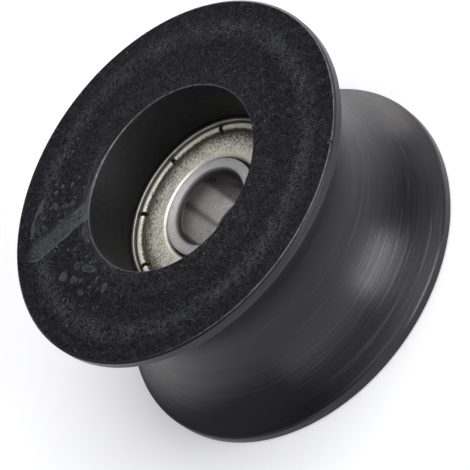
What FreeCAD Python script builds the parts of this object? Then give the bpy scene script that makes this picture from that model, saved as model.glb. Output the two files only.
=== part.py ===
import FreeCAD, Part
import math
import os

# Guide pulley: a nylon roller turned with a round rope groove, carried by one
# shielded ball bearing that is pressed into a deep bore from the front face.
# Lengths are millimetres. Z is the axis of rotation, +Z leaves the front face,
# and the origin is the middle of the roller's width on its axis.

# Nylon roller
ROLLER_RADIUS = 25.5
ROLLER_WIDTH = 25.4
RIM_BREAK_RADIAL = 0.29
RIM_BREAK_AXIAL = 0.24
RIM_LAND = 1.3
GROOVE_LIP_RADIAL = 0.15
GROOVE_LIP_AXIAL = 0.27
GROOVE_THROAT_RADIUS = 19.3
MOUTH_BREAK = 0.18
BEARING_RECESS = 8.2
SEAT_LEDGE = 2.0

# Outside of the ball bearing
BORE_RADIUS = 5.0
BEARING_RADIUS = 13.0
BEARING_WIDTH = 8.0
OUTER_CORNER = 0.3
BORE_CHAMFER_RADIAL = 0.56
BORE_CHAMFER_AXIAL = 0.77

# Balls and raceways. The balls are as large as both the bearing's section and
# its width allow, and the raceways' depth goes with the balls' radius.
BALL_RATIO = 0.2977
BALL_COUNT = 7
RACE_DEPTH_RATIO = 0.35
RACE_RELIEF = 0.095
RACE_CLEARANCE = 0.05

# Stepped ends of the inner ring
INNER_STEP_DROP = 0.45
INNER_STEP_LENGTH = 1.4
INNER_STEP_CHAMFER = 0.2

# Notches of the outer ring, which hold the shields
OUTER_FACE_WIDTH = 0.56
NOTCH_DEPTH = 1.3
NOTCH_UNDERCUT = 0.1

# Pressed sheet shields
SHIELD_SHEET = 0.35
SHIELD_RIM_GAP = 0.04
SHIELD_LIP_GAP = 0.32
SHIELD_FLOOR_GAP = 0.1
LIP_ROLL = 0.45
LIP_ROLL_MIDWAY = math.radians(45)
LIP_LENGTH = 0.15
LIP_DEPTH = 0.4
DISH_FALL = 0.12
CHANNEL_WIDTH = 0.3
RAMP_WIDTH = 0.25
BEAD_WIDTH = 1.05
BEAD_DEPTH = 0.33
BEAD_CREST_WIDTH = 0.55
BEAD_CREST_DROP = 0.17
CRIMP_SLOT_COUNT = 9
CRIMP_SLOT_WIDTH = 0.42

# Riveted ribbon cage
CAGE_GAP = 0.6
CAGE_SHIELD_GAP = 0.3
CAGE_SHEET = 0.4
POCKET_GAP = 0.1
RIVET_RADIUS = 0.45
RIVET_HEAD_OVERHANG = 0.35
RIVET_HEAD_TAPER = 0.3
RIVET_HEAD_HEIGHT = 0.35

# Places worked out from the sizes above
HALF_WIDTH = ROLLER_WIDTH / 2
BEARING_HALF = BEARING_WIDTH / 2
BEARING_MIDDLE = HALF_WIDTH - BEARING_RECESS - BEARING_HALF
SEAT_SHOULDER = BEARING_MIDDLE - BEARING_HALF
REAR_HOLE_RADIUS = BEARING_RADIUS - SEAT_LEDGE
PITCH_RADIUS = (BORE_RADIUS + BEARING_RADIUS) / 2
BALL_RADIUS = BALL_RATIO * min(BEARING_RADIUS - BORE_RADIUS, BEARING_WIDTH)
RACE_DEPTH = RACE_DEPTH_RATIO * BALL_RADIUS
SHOULDER_OFFSET = BALL_RADIUS + RACE_CLEARANCE - RACE_DEPTH
INNER_SHOULDER = PITCH_RADIUS - SHOULDER_OFFSET
OUTER_SHOULDER = PITCH_RADIUS + SHOULDER_OFFSET
INNER_STEP_RADIUS = INNER_SHOULDER - INNER_STEP_DROP
NOTCH_RADIUS = BEARING_RADIUS - OUTER_FACE_WIDTH
NOTCH_FLOOR = BEARING_HALF - NOTCH_DEPTH
SHIELD_CREST = BEARING_HALF - LIP_DEPTH

CENTRE = FreeCAD.Vector(0, 0, 0)
AXIS = FreeCAD.Vector(0, 0, 1)


def around(count, offset=0.0):
    """The angles, in degrees, of equal steps round the axis.

    offset is a share of one step by which they all turn.
    """
    step = 360 / count
    return [(index + offset) * step for index in range(count)]


def on_circle(radius, angle, height=0.0):
    """The point at a radius, an angle in degrees and a height."""
    turn = math.radians(angle)
    return FreeCAD.Vector(radius * math.cos(turn), radius * math.sin(turn), height)


def turned(start, steps):
    """The solid that a closed outline of (radius, height) points makes about Z.

    Each step is a list: its last point is reached by a straight line, or by an
    arc where another point, which the arc passes through, comes before it.
    """
    edges = []
    last = FreeCAD.Vector(start[0], 0, start[1])
    for step in steps + [[start]]:
        *through, end = [FreeCAD.Vector(radius, 0, height) for radius, height in step]
        if through:
            curve = Part.Arc(last, through[0], end)
        else:
            curve = Part.LineSegment(last, end)
        edges.append(curve.toShape())
        last = end
    return Part.Face(Part.Wire(edges)).revolve(CENTRE, AXIS, 360)


def flat_ring(inner, outer, bottom, height):
    """A plain ring with square edges."""
    foot = FreeCAD.Vector(0, 0, bottom)
    disc = Part.makeCylinder(outer, height, foot)
    return disc.cut(Part.makeCylinder(inner, height, foot))


def facing_back(solid):
    """The same solid mirrored in the bearing's middle plane."""
    return solid.mirror(CENTRE, AXIS)


def seated(solid):
    """A bearing piece, drawn about the bearing's own middle, moved to its seat."""
    return solid.translated(FreeCAD.Vector(0, 0, BEARING_MIDDLE))


def roller():
    """The nylon roller: rim lands, round groove, bearing seat and rear hole."""
    mouth = BEARING_RADIUS + MOUTH_BREAK
    land_end = HALF_WIDTH - RIM_LAND
    lip_radius = ROLLER_RADIUS - GROOVE_LIP_RADIAL
    lip_height = land_end - GROOVE_LIP_AXIAL
    return turned(
        (mouth, HALF_WIDTH),
        [
            [(ROLLER_RADIUS - RIM_BREAK_RADIAL, HALF_WIDTH)],
            [(ROLLER_RADIUS, HALF_WIDTH - RIM_BREAK_AXIAL)],
            [(ROLLER_RADIUS, land_end)],
            [(lip_radius, lip_height)],
            [(GROOVE_THROAT_RADIUS, 0), (lip_radius, -lip_height)],
            [(ROLLER_RADIUS, -land_end)],
            [(ROLLER_RADIUS, RIM_BREAK_AXIAL - HALF_WIDTH)],
            [(ROLLER_RADIUS - RIM_BREAK_RADIAL, -HALF_WIDTH)],
            [(REAR_HOLE_RADIUS + MOUTH_BREAK, -HALF_WIDTH)],
            [(REAR_HOLE_RADIUS, MOUTH_BREAK - HALF_WIDTH)],
            [(REAR_HOLE_RADIUS, SEAT_SHOULDER)],
            [(BEARING_RADIUS, SEAT_SHOULDER)],
            [(BEARING_RADIUS, HALF_WIDTH - MOUTH_BREAK)],
        ],
    )


def race_half_width():
    """Half the width of either raceway where its arc meets the shoulders."""
    arc_radius = BALL_RADIUS + RACE_RELIEF
    return math.sqrt(arc_radius**2 - (arc_radius - RACE_DEPTH) ** 2)


def outer_ring():
    """The bearing's outer ring: raceway, shoulders and a notch at each end."""
    corner = BEARING_RADIUS - OUTER_CORNER
    race = race_half_width()
    race_bottom = PITCH_RADIUS + BALL_RADIUS + RACE_CLEARANCE
    notch_root = NOTCH_RADIUS + NOTCH_UNDERCUT
    return turned(
        (corner, BEARING_HALF),
        [
            [(BEARING_RADIUS, BEARING_HALF - OUTER_CORNER)],
            [(BEARING_RADIUS, OUTER_CORNER - BEARING_HALF)],
            [(corner, -BEARING_HALF)],
            [(NOTCH_RADIUS, -BEARING_HALF)],
            [(notch_root, -NOTCH_FLOOR)],
            [(OUTER_SHOULDER, -NOTCH_FLOOR)],
            [(OUTER_SHOULDER, -race)],
            [(race_bottom, 0), (OUTER_SHOULDER, race)],
            [(OUTER_SHOULDER, NOTCH_FLOOR)],
            [(notch_root, NOTCH_FLOOR)],
            [(NOTCH_RADIUS, BEARING_HALF)],
        ],
    )


def inner_ring():
    """The bearing's inner ring: chamfered bore, raceway and stepped ends."""
    race = race_half_width()
    race_bottom = PITCH_RADIUS - BALL_RADIUS - RACE_CLEARANCE
    step_height = BEARING_HALF - INNER_STEP_LENGTH
    face_edge = INNER_STEP_RADIUS - INNER_STEP_CHAMFER
    chamfer_height = BEARING_HALF - INNER_STEP_CHAMFER
    bore_mouth = BORE_RADIUS + BORE_CHAMFER_RADIAL
    bore_height = BEARING_HALF - BORE_CHAMFER_AXIAL
    return turned(
        (bore_mouth, BEARING_HALF),
        [
            [(face_edge, BEARING_HALF)],
            [(INNER_STEP_RADIUS, chamfer_height)],
            [(INNER_STEP_RADIUS, step_height)],
            [(INNER_SHOULDER, step_height)],
            [(INNER_SHOULDER, race)],
            [(race_bottom, 0), (INNER_SHOULDER, -race)],
            [(INNER_SHOULDER, -step_height)],
            [(INNER_STEP_RADIUS, -step_height)],
            [(INNER_STEP_RADIUS, -chamfer_height)],
            [(face_edge, -BEARING_HALF)],
            [(bore_mouth, -BEARING_HALF)],
            [(BORE_RADIUS, -bore_height)],
            [(BORE_RADIUS, bore_height)],
        ],
    )


def shield_blank():
    """The pressed shield before its rim is slotted.

    From the bore outwards: a rolled lip, a gently dished web, a channel and a
    bead whose skirt stands on the floor of the outer ring's notch.
    """
    lip = INNER_STEP_RADIUS + SHIELD_LIP_GAP
    lip_end = SHIELD_CREST - LIP_ROLL - LIP_LENGTH
    roll_inset = LIP_ROLL * (1 - math.cos(LIP_ROLL_MIDWAY))
    rim = NOTCH_RADIUS - SHIELD_RIM_GAP
    bead_foot = rim - BEAD_WIDTH
    channel_foot = bead_foot - CHANNEL_WIDTH
    web_edge = channel_foot - RAMP_WIDTH
    web_height = SHIELD_CREST - DISH_FALL
    channel_top = NOTCH_FLOOR + SHIELD_FLOOR_GAP + SHIELD_SHEET
    bead_centre = rim - BEAD_WIDTH / 2
    crest = BEARING_HALF - BEAD_DEPTH
    crest_side = crest - BEAD_CREST_DROP
    crest_half = BEAD_CREST_WIDTH / 2
    return turned(
        (lip, lip_end),
        [
            [(lip, SHIELD_CREST - LIP_ROLL)],
            [(lip + roll_inset, SHIELD_CREST - roll_inset), (lip + LIP_ROLL, SHIELD_CREST)],
            [(web_edge, web_height)],
            [(channel_foot, channel_top)],
            [(bead_foot, channel_top)],
            [(bead_centre - crest_half, crest_side)],
            [(bead_centre, crest), (bead_centre + crest_half, crest_side)],
            [(rim, crest_side - SHIELD_SHEET)],
            [(rim, NOTCH_FLOOR)],
            [(rim - SHIELD_SHEET, NOTCH_FLOOR)],
            [(bead_centre, crest - SHIELD_SHEET)],
            [(bead_foot + SHIELD_SHEET / 2, channel_top - SHIELD_SHEET)],
            [(channel_foot - SHIELD_SHEET / 2, channel_top - SHIELD_SHEET)],
            [(web_edge - SHIELD_SHEET / 2, web_height - SHIELD_SHEET)],
            [(lip + LIP_ROLL, SHIELD_CREST - SHIELD_SHEET)],
            [(lip + SHIELD_SHEET, lip_end)],
        ],
    )


def shield():
    """The shield with the crimping slots that part its rim into even lengths."""
    rim = NOTCH_RADIUS - SHIELD_RIM_GAP
    slot_foot = rim - BEAD_WIDTH - CHANNEL_WIDTH
    slot = Part.makeBox(
        BEARING_RADIUS - slot_foot,
        CRIMP_SLOT_WIDTH,
        BEARING_HALF,
        FreeCAD.Vector(slot_foot, -CRIMP_SLOT_WIDTH / 2, 0),
    )
    slots = [slot.rotated(CENTRE, AXIS, angle) for angle in around(CRIMP_SLOT_COUNT)]
    return shield_blank().cut(slots)


def rivet_places(height):
    """The points midway between the balls where the cage is riveted."""
    return [on_circle(PITCH_RADIUS, angle, height) for angle in around(BALL_COUNT, 0.5)]


def cage_half():
    """The front half of the cage: a flat ribbon with a dome over each ball.

    The band that it is cut from ends a named gap below the shield.
    """
    inner = INNER_SHOULDER + CAGE_GAP
    outer = OUTER_SHOULDER - CAGE_GAP
    pocket = BALL_RADIUS + POCKET_GAP
    dome = pocket + CAGE_SHEET
    band_top = SHIELD_CREST - SHIELD_SHEET - CAGE_SHIELD_GAP
    centres = [on_circle(PITCH_RADIUS, angle) for angle in around(BALL_COUNT)]
    domes = [Part.makeSphere(dome, centre) for centre in centres]
    pockets = [Part.makeSphere(pocket, centre) for centre in centres]
    holes = [Part.makeCylinder(RIVET_RADIUS, CAGE_SHEET, place) for place in rivet_places(0)]
    pressed = flat_ring(inner, outer, 0, CAGE_SHEET).fuse(domes)
    return pressed.common(flat_ring(inner, outer, 0, band_top)).cut(pockets + holes)


def rivet(place):
    """One cage rivet: a shank through both halves and a tapered head on each."""
    rise = FreeCAD.Vector(0, 0, CAGE_SHEET)
    head_radius = RIVET_RADIUS + RIVET_HEAD_OVERHANG
    head_top = head_radius - RIVET_HEAD_TAPER
    shank = Part.makeCylinder(RIVET_RADIUS, 2 * CAGE_SHEET, place - rise)
    front = Part.makeCone(head_radius, head_top, RIVET_HEAD_HEIGHT, place + rise)
    rear = Part.makeCone(head_radius, head_top, RIVET_HEAD_HEIGHT, place - rise, -AXIS)
    return shank.fuse([front, rear])


def pieces():
    """Every piece of the pulley at its place, by name."""
    made = {
        "roller": roller(),
        "bearing_outer_ring": seated(outer_ring()),
        "bearing_inner_ring": seated(inner_ring()),
        "front_shield": seated(shield()),
        "rear_shield": seated(facing_back(shield())),
        "cage_front_half": seated(cage_half()),
        "cage_rear_half": seated(facing_back(cage_half())),
        "cage_rivets": seated(Part.Compound([rivet(place) for place in rivet_places(0)])),
    }
    for index, angle in enumerate(around(BALL_COUNT)):
        centre = on_circle(PITCH_RADIUS, angle, BEARING_MIDDLE)
        made[f"ball_{index + 1}"] = Part.makeSphere(BALL_RADIUS, centre)
    return made


os.makedirs("parts", exist_ok=True)
for name, shape in pieces().items():
    shape.exportStep(f"parts/{name}.step")
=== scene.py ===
"""Looks of the nylon guide pulley: a grooved roller on one shielded ball bearing.

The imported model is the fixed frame. The roller, both rings and both shields are
rebuilt as dense turned or pressed surfaces; the balls, the cage and its rivets
keep their own meshes and get better finishes.
"""

import logging
import math
from collections.abc import Iterable, Sequence
from dataclasses import dataclass
from enum import Enum

import bpy
import bmesh
import numpy as np
from mathutils import Matrix, Vector


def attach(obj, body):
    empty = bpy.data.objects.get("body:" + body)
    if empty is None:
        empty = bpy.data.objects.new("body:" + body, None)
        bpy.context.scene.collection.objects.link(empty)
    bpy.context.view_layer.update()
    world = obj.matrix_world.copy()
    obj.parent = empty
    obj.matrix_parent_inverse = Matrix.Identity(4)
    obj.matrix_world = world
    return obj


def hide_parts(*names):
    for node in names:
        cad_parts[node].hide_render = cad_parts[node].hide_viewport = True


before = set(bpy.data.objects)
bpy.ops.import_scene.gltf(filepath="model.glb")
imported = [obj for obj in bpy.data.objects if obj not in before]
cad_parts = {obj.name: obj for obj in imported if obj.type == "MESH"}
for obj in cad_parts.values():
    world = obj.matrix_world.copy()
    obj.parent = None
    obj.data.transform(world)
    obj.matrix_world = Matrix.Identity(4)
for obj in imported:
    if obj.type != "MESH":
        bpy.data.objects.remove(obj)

LOG = logging.getLogger("guide_pulley")
MM = 0.001

Socket = bpy.types.NodeSocket
Amount = float | Socket
Span = tuple[float, float]
Triple = tuple[float, float, float]
Colour = Triple
Sector = Triple


class Slot(Enum):
    """Material slots of the record that the rebuilt pieces have."""

    NYLON = "nylon"
    RINGS = "ring_steel"
    SHIELDS = "shield_zinc"


class Side(Enum):
    """Which way a shield faces along the axis."""

    FRONT = 1.0
    REAR = -1.0


# Surfaces


def rounded_outline(corners: np.ndarray, radii: np.ndarray, steps: int = 6) -> np.ndarray:
    """Replaces the corners of an outline by arcs.

    A corner C turns by an angle t. Points A and B lie at radius * tan(t / 2) from
    C along its two sides, and the arc is the rational quadratic curve from A to B
    with C as its control point and cos(t / 2) as its weight. An arc takes up to
    0.48 of a side whose other end is rounded too, and up to 0.95 of another one.

    Args:
        corners: (n, 2) points of radius and height in millimetres, taken as closed.
        radii: (n,) arc radii; a corner with radius 0 stays sharp.
        steps: points on each arc.

    Returns:
        (m, 2) points of the outline without repeats.
    """
    to_last = np.roll(corners, 1, axis=0) - corners
    to_next = np.roll(corners, -1, axis=0) - corners
    side_last = np.linalg.norm(to_last, axis=1, keepdims=True)
    side_next = np.linalg.norm(to_next, axis=1, keepdims=True)
    to_last, to_next = to_last / side_last, to_next / side_next
    half_turn = (np.pi - np.arccos(np.clip((to_last * to_next).sum(1), -1, 1))) / 2
    reach = (radii * np.tan(half_turn))[:, None]
    last_share, next_share = (np.where(np.roll(radii, turn) > 0, 0.48, 0.95)[:, None] for turn in (1, -1))
    reach = np.minimum(reach, np.minimum(last_share * side_last, next_share * side_next))
    first, last = corners + to_last * reach, corners + to_next * reach
    share = np.linspace(0, 1, steps)[None, :, None]
    weights = (1 - share) ** 2, 2 * share * (1 - share), share**2
    middle = weights[1] * np.cos(half_turn)[:, None, None]
    points = weights[0] * first[:, None] + middle * corners[:, None] + weights[2] * last[:, None]
    outline = (points / (weights[0] + middle + weights[2])).reshape(-1, 2)
    gap = np.linalg.norm(outline - np.roll(outline, 1, axis=0), axis=1)
    return outline[gap > 1e-6]


def with_holding_points(outline: np.ndarray, reach: float, least: float = 0.35) -> np.ndarray:
    """Adds a point near both ends of each long side, so that smooth shading stays flat there.

    Args:
        outline: (n, 2) closed outline.
        reach: distance of the new points from the ends.
        least: length of the shortest side that gets them.

    Returns:
        (m, 2) closed outline.
    """
    side = np.roll(outline, -1, axis=0) - outline
    length = np.linalg.norm(side, axis=1, keepdims=True)
    share = np.where(length > least, reach / length, 0)
    trio = np.stack([outline, outline + side * share, outline + side * (1 - share)], axis=1)
    keep = np.ones((len(outline), 3), bool)
    keep[:, 1:] = share > 0
    return trio[keep]


def counterclockwise(outline: np.ndarray) -> np.ndarray:
    """Puts an outline in the order that encloses a positive area of radius by height.

    Args:
        outline: (n, 2) closed outline.

    Returns:
        The outline or its reverse.
    """
    after = np.roll(outline, -1, axis=0)
    area = (outline[:, 0] * after[:, 1] - after[:, 0] * outline[:, 1]).sum()
    return outline if area > 0 else outline[::-1]


def ring_grid(rows: int, columns: int) -> np.ndarray:
    """Numbers the quads of a grid that closes on itself both ways.

    Args:
        rows: points of the outline.
        columns: angles round the axis.

    Returns:
        (rows * columns, 4) vertex numbers, for an outline that runs counterclockwise.
    """
    index = np.arange(rows * columns).reshape(rows, columns)
    across = np.roll(index, -1, axis=1)
    along = np.roll(index, -1, axis=0)
    both = np.roll(across, -1, axis=0)
    return np.stack([index, across, both, along], axis=-1).reshape(-1, 4)


def turned_points(outline: np.ndarray, angles: np.ndarray) -> np.ndarray:
    """Turns an outline round the axis: (r cos a, r sin a, h) for each of its points and each angle.

    Args:
        outline: (n, 2) radius and height.
        angles: (k,) or (n, k) angles in radians.

    Returns:
        (n, k, 3) points in the outline's unit.
    """
    angles = np.broadcast_to(angles, (len(outline), angles.shape[-1]))
    radius, height = outline[:, :1], outline[:, 1:]
    spread = np.ones_like(angles)
    return np.stack([radius * np.cos(angles), radius * np.sin(angles), height * spread], axis=-1)


def even_angles(count: int) -> np.ndarray:
    """Equal steps of a full turn, in radians."""
    return np.arange(count) * (2 * np.pi / count)


def make_piece(name: str, points: np.ndarray, quads: np.ndarray, sharp: float = 35) -> bpy.types.Object:
    """Makes a smooth mesh object from points in millimetres.

    Args:
        name: the piece's name.
        points: (..., 3) points.
        quads: (n, 4) vertex numbers.
        sharp: angle in degrees above which an edge shades as a sharp one.

    Returns:
        The linked object, at the origin.
    """
    mesh = bpy.data.meshes.new(name)
    mesh.from_pydata((points.reshape(-1, 3) * MM).tolist(), [], quads.tolist())
    mesh.validate()
    mesh.shade_smooth()
    mesh.set_sharp_from_angle(angle=math.radians(sharp))
    piece = bpy.data.objects.new(name, mesh)
    bpy.context.scene.collection.objects.link(piece)
    return piece


def settle(piece: bpy.types.Object, body: str, slot: Slot, material: bpy.types.Material, *nodes: str) -> None:
    """Dresses a piece, lets it ride on a body and stand for the CAD nodes that it replaces.

    Args:
        piece: the piece.
        body: the body that it rides on.
        slot: its material slot in the record; not used.
        material: its finish.
        *nodes: the CAD nodes that it replaces.
    """
    piece.data.materials.append(material)
    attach(piece, body)
    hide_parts(*nodes)
    LOG.info("%s: %d faces on %s", piece.name, len(piece.data.polygons), body)


# Shader building


class NodeGraph:
    """The shader nodes of one material, added and joined by short calls."""

    def __init__(self, name: str) -> None:
        """Starts an empty node tree for a new material.

        Args:
            name: the material's name.
        """
        self.material = bpy.data.materials.new(name)
        self.material.use_nodes = True
        self.tree = self.material.node_tree
        self.tree.nodes.clear()

    def add(self, kind: str, **settings: object) -> bpy.types.Node:
        """Adds a node and sets its properties.

        Args:
            kind: the node's type.
            **settings: properties of the node and their values.

        Returns:
            The new node.
        """
        node = self.tree.nodes.new(kind)
        for key, value in settings.items():
            setattr(node, key, value)
        return node

    def feed(self, socket: Socket, value: Amount | Sequence[float]) -> None:
        """Links a socket to the input, or sets a constant on it.

        Args:
            socket: the input.
            value: an output to link, or a constant.
        """
        if isinstance(value, bpy.types.NodeSocket):
            self.tree.links.new(value, socket)
        else:
            socket.default_value = value

    def math(self, operation: str, first: Amount, second: Amount = 0.0, clamp: bool = False) -> Socket:
        """Adds one Math node.

        Args:
            operation: what the node does.
            first: its first value.
            second: its second value, for operations that have one.
            clamp: whether the result is held between 0 and 1.

        Returns:
            The result.
        """
        node = self.add("ShaderNodeMath", operation=operation, use_clamp=clamp)
        self.feed(node.inputs[0], first)
        self.feed(node.inputs[1], second)
        return node.outputs[0]

    def inverse(self, value: Amount) -> Socket:
        """One minus the value."""
        return self.math("SUBTRACT", 1.0, value)

    def product(self, *factors: Amount) -> Socket:
        """Multiplies values.

        Args:
            *factors: two or more values.

        Returns:
            Their product.
        """
        result = factors[0]
        for factor in factors[1:]:
            result = self.math("MULTIPLY", result, factor)
        return result

    def total(self, *terms: Amount) -> Socket:
        """Adds values up.

        Args:
            *terms: two or more values.

        Returns:
            Their sum, held between 0 and 1 after each step.
        """
        result = terms[0]
        for term in terms[1:]:
            result = self.math("ADD", result, term, clamp=True)
        return result

    def vector(self, operation: str, first: Socket, second: Sequence[float] | Socket) -> bpy.types.Node:
        """Adds one Vector Math node.

        Args:
            operation: what the node does.
            first: its first vector.
            second: its second vector.

        Returns:
            The node.
        """
        node = self.add("ShaderNodeVectorMath", operation=operation)
        self.feed(node.inputs[0], first)
        self.feed(node.inputs[1], second)
        return node

    def scaled(self, vector: Socket, factor: float) -> Socket:
        """Scales a vector.

        Args:
            vector: the vector.
            factor: what each of its parts is multiplied by.

        Returns:
            The scaled vector.
        """
        node = self.add("ShaderNodeVectorMath", operation="SCALE")
        self.feed(node.inputs[0], vector)
        node.inputs["Scale"].default_value = factor
        return node.outputs[0]

    def length(self, vector: Socket) -> Socket:
        """Measures a vector.

        Args:
            vector: the vector.

        Returns:
            Its length.
        """
        node = self.add("ShaderNodeVectorMath", operation="LENGTH")
        self.feed(node.inputs[0], vector)
        return node.outputs["Value"]

    def combine(self, x: Amount, y: Amount, z: Amount) -> Socket:
        """Makes a vector.

        Args:
            x: its first part.
            y: its second part.
            z: its third part.

        Returns:
            The vector.
        """
        node = self.add("ShaderNodeCombineXYZ")
        for socket, value in zip(node.inputs, (x, y, z)):
            self.feed(socket, value)
        return node.outputs[0]

    def split(self, vector: Socket) -> tuple[Socket, Socket, Socket]:
        """Takes a vector apart.

        Args:
            vector: the vector.

        Returns:
            Its three parts.
        """
        node = self.add("ShaderNodeSeparateXYZ")
        self.feed(node.inputs[0], vector)
        return tuple(node.outputs)

    def step(
        self, value: Amount, low: float, high: float, out_low: float = 0.0, out_high: float = 1.0
    ) -> Socket:
        """Makes a smooth step of a value.

        Args:
            value: what is read.
            low: where the step starts.
            high: where it ends; it may be under low.
            out_low: the result up to low.
            out_high: the result past high.

        Returns:
            The result.
        """
        if low > high:
            low, high, out_low, out_high = high, low, out_high, out_low
        node = self.add("ShaderNodeMapRange", interpolation_type="SMOOTHSTEP")
        for socket, number in zip(node.inputs, (value, low, high, out_low, out_high)):
            self.feed(socket, number)
        return node.outputs[0]

    def hump(self, value: Amount, centre: float, reach: float) -> Socket:
        """1 at the centre, falling smoothly to 0 at reach on both sides."""
        away = self.math("ABSOLUTE", self.math("SUBTRACT", value, centre))
        return self.step(away, reach, 0.0)

    def curve(self, value: Socket, knots: Sequence[Span]) -> Socket:
        """Makes a smooth curve of a value.

        Args:
            value: what is read.
            knots: places and values, all between 0 and 1.

        Returns:
            The curve's value.
        """
        node = self.add("ShaderNodeFloatCurve")
        points = node.mapping.curves[0].points
        points[0].location, points[1].location = knots[0], knots[-1]
        for knot in knots[1:-1]:
            points.new(*knot)
        node.mapping.update()
        self.feed(node.inputs["Value"], value)
        return node.outputs[0]

    def noise(
        self, where: Socket, scale: float, detail: float = 2.0, rough: float = 0.5, warp: float = 0.0
    ) -> Socket:
        """Makes noise.

        Args:
            where: the vector that it is read at.
            scale: lumps for each unit of the vector.
            detail: how many finer layers there are.
            rough: how strong each finer layer is.
            warp: how far the noise is drawn about.

        Returns:
            A value from 0 to 1.
        """
        node = self.add("ShaderNodeTexNoise")
        self.feed(node.inputs["Vector"], where)
        for key, value in (("Scale", scale), ("Detail", detail), ("Roughness", rough), ("Distortion", warp)):
            node.inputs[key].default_value = value
        return node.outputs[0]

    def noise_vector(self, where: Socket, scale: float) -> Socket:
        """Makes three noises at once.

        Args:
            where: the vector that they are read at.
            scale: lumps for each unit of the vector.

        Returns:
            A vector whose parts go from 0 to 1.
        """
        node = self.add("ShaderNodeTexNoise")
        self.feed(node.inputs["Vector"], where)
        node.inputs["Scale"].default_value = scale
        return node.outputs["Color"]

    def cells(self, where: Socket, scale: float) -> tuple[Socket, tuple[Socket, Socket, Socket]]:
        """Makes cells round scattered points.

        Args:
            where: the vector that they are read at.
            scale: cells for each unit of the vector.

        Returns:
            The distance to the nearest point, and three numbers from 0 to 1 that differ from
            cell to cell.
        """
        node = self.add("ShaderNodeTexVoronoi")
        self.feed(node.inputs["Vector"], where)
        node.inputs["Scale"].default_value = scale
        pick = self.add("ShaderNodeSeparateColor")
        self.feed(pick.inputs[0], node.outputs["Color"])
        return node.outputs["Distance"], tuple(pick.outputs)

    def placed(self, where: Socket, x: float, y: float, azimuth: float, scale: Span) -> Socket:
        """Measures from a point, along and across an azimuth.

        Args:
            where: the vector that is read.
            x: the point's first coordinate.
            y: the point's second coordinate.
            azimuth: the direction of the first new axis, in degrees.
            scale: the steps of the two new axes.

        Returns:
            The new coordinates.
        """
        node = self.add("ShaderNodeMapping", vector_type="TEXTURE")
        node.inputs["Location"].default_value = (x, y, 0.0)
        node.inputs["Rotation"].default_value = (0.0, 0.0, math.radians(azimuth))
        node.inputs["Scale"].default_value = (*scale, 1.0)
        self.feed(node.inputs["Vector"], where)
        return node.outputs[0]

    def blend(self, factor: Amount, first: Amount, second: Amount) -> Socket:
        """Mixes two values.

        Args:
            factor: the share of the second one.
            first: the first value.
            second: the second value.

        Returns:
            The mix.
        """
        node = self.add("ShaderNodeMix", data_type="FLOAT")
        for number, value in ((0, factor), (2, first), (3, second)):
            self.feed(node.inputs[number], value)
        return node.outputs[0]

    def mix(self, factor: Amount, first: Colour | Socket, second: Colour | Socket) -> Socket:
        """Mixes two colours.

        Args:
            factor: the share of the second one.
            first: the first colour.
            second: the second colour.

        Returns:
            The mix.
        """
        node = self.add("ShaderNodeMix", data_type="RGBA")
        self.feed(node.inputs["Factor"], factor)
        for socket, colour in ((node.inputs[6], first), (node.inputs[7], second)):
            self.feed(socket, colour if isinstance(colour, bpy.types.NodeSocket) else (*colour, 1.0))
        return node.outputs[2]

    def bump(self, height: Socket, strength: float, depth_mm: float, under: Socket | None = None) -> Socket:
        """Bends the normal as a relief would.

        Args:
            height: the relief, from 0 to 1.
            strength: how much of it counts.
            depth_mm: how deep it is.
            under: another bent normal that it lies on.

        Returns:
            The bent normal.
        """
        node = self.add("ShaderNodeBump")
        node.inputs["Strength"].default_value = strength
        node.inputs["Distance"].default_value = depth_mm * MM
        self.feed(node.inputs["Height"], height)
        if under is not None:
            self.feed(node.inputs["Normal"], under)
        return node.outputs[0]

    def surface(self, **values: Amount | Sequence[float]) -> bpy.types.Material:
        """Closes the material with a Principled shader.

        Args:
            **values: its inputs by name, with underscores for spaces.

        Returns:
            The finished material.
        """
        shader = self.add("ShaderNodeBsdfPrincipled")
        for key, value in values.items():
            self.feed(shader.inputs[key.replace("_", " ")], value)
        output = self.add("ShaderNodeOutputMaterial")
        self.tree.links.new(shader.outputs[0], output.inputs["Surface"])
        return self.material

    def turned_surface(self, streak: float, **values: Amount | Sequence[float]) -> bpy.types.Material:
        """Closes the material of a turned piece, whose shine is drawn out across its lines.

        Args:
            streak: how far the shine is drawn out, from 0 to 1.
            **values: the other inputs, as in surface.

        Returns:
            The finished material.
        """
        tangent = self.add("ShaderNodeTangent", direction_type="RADIAL", axis="Z").outputs[0]
        return self.surface(Anisotropic=streak, Anisotropic_Rotation=0.25, Tangent=tangent, **values)


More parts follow.
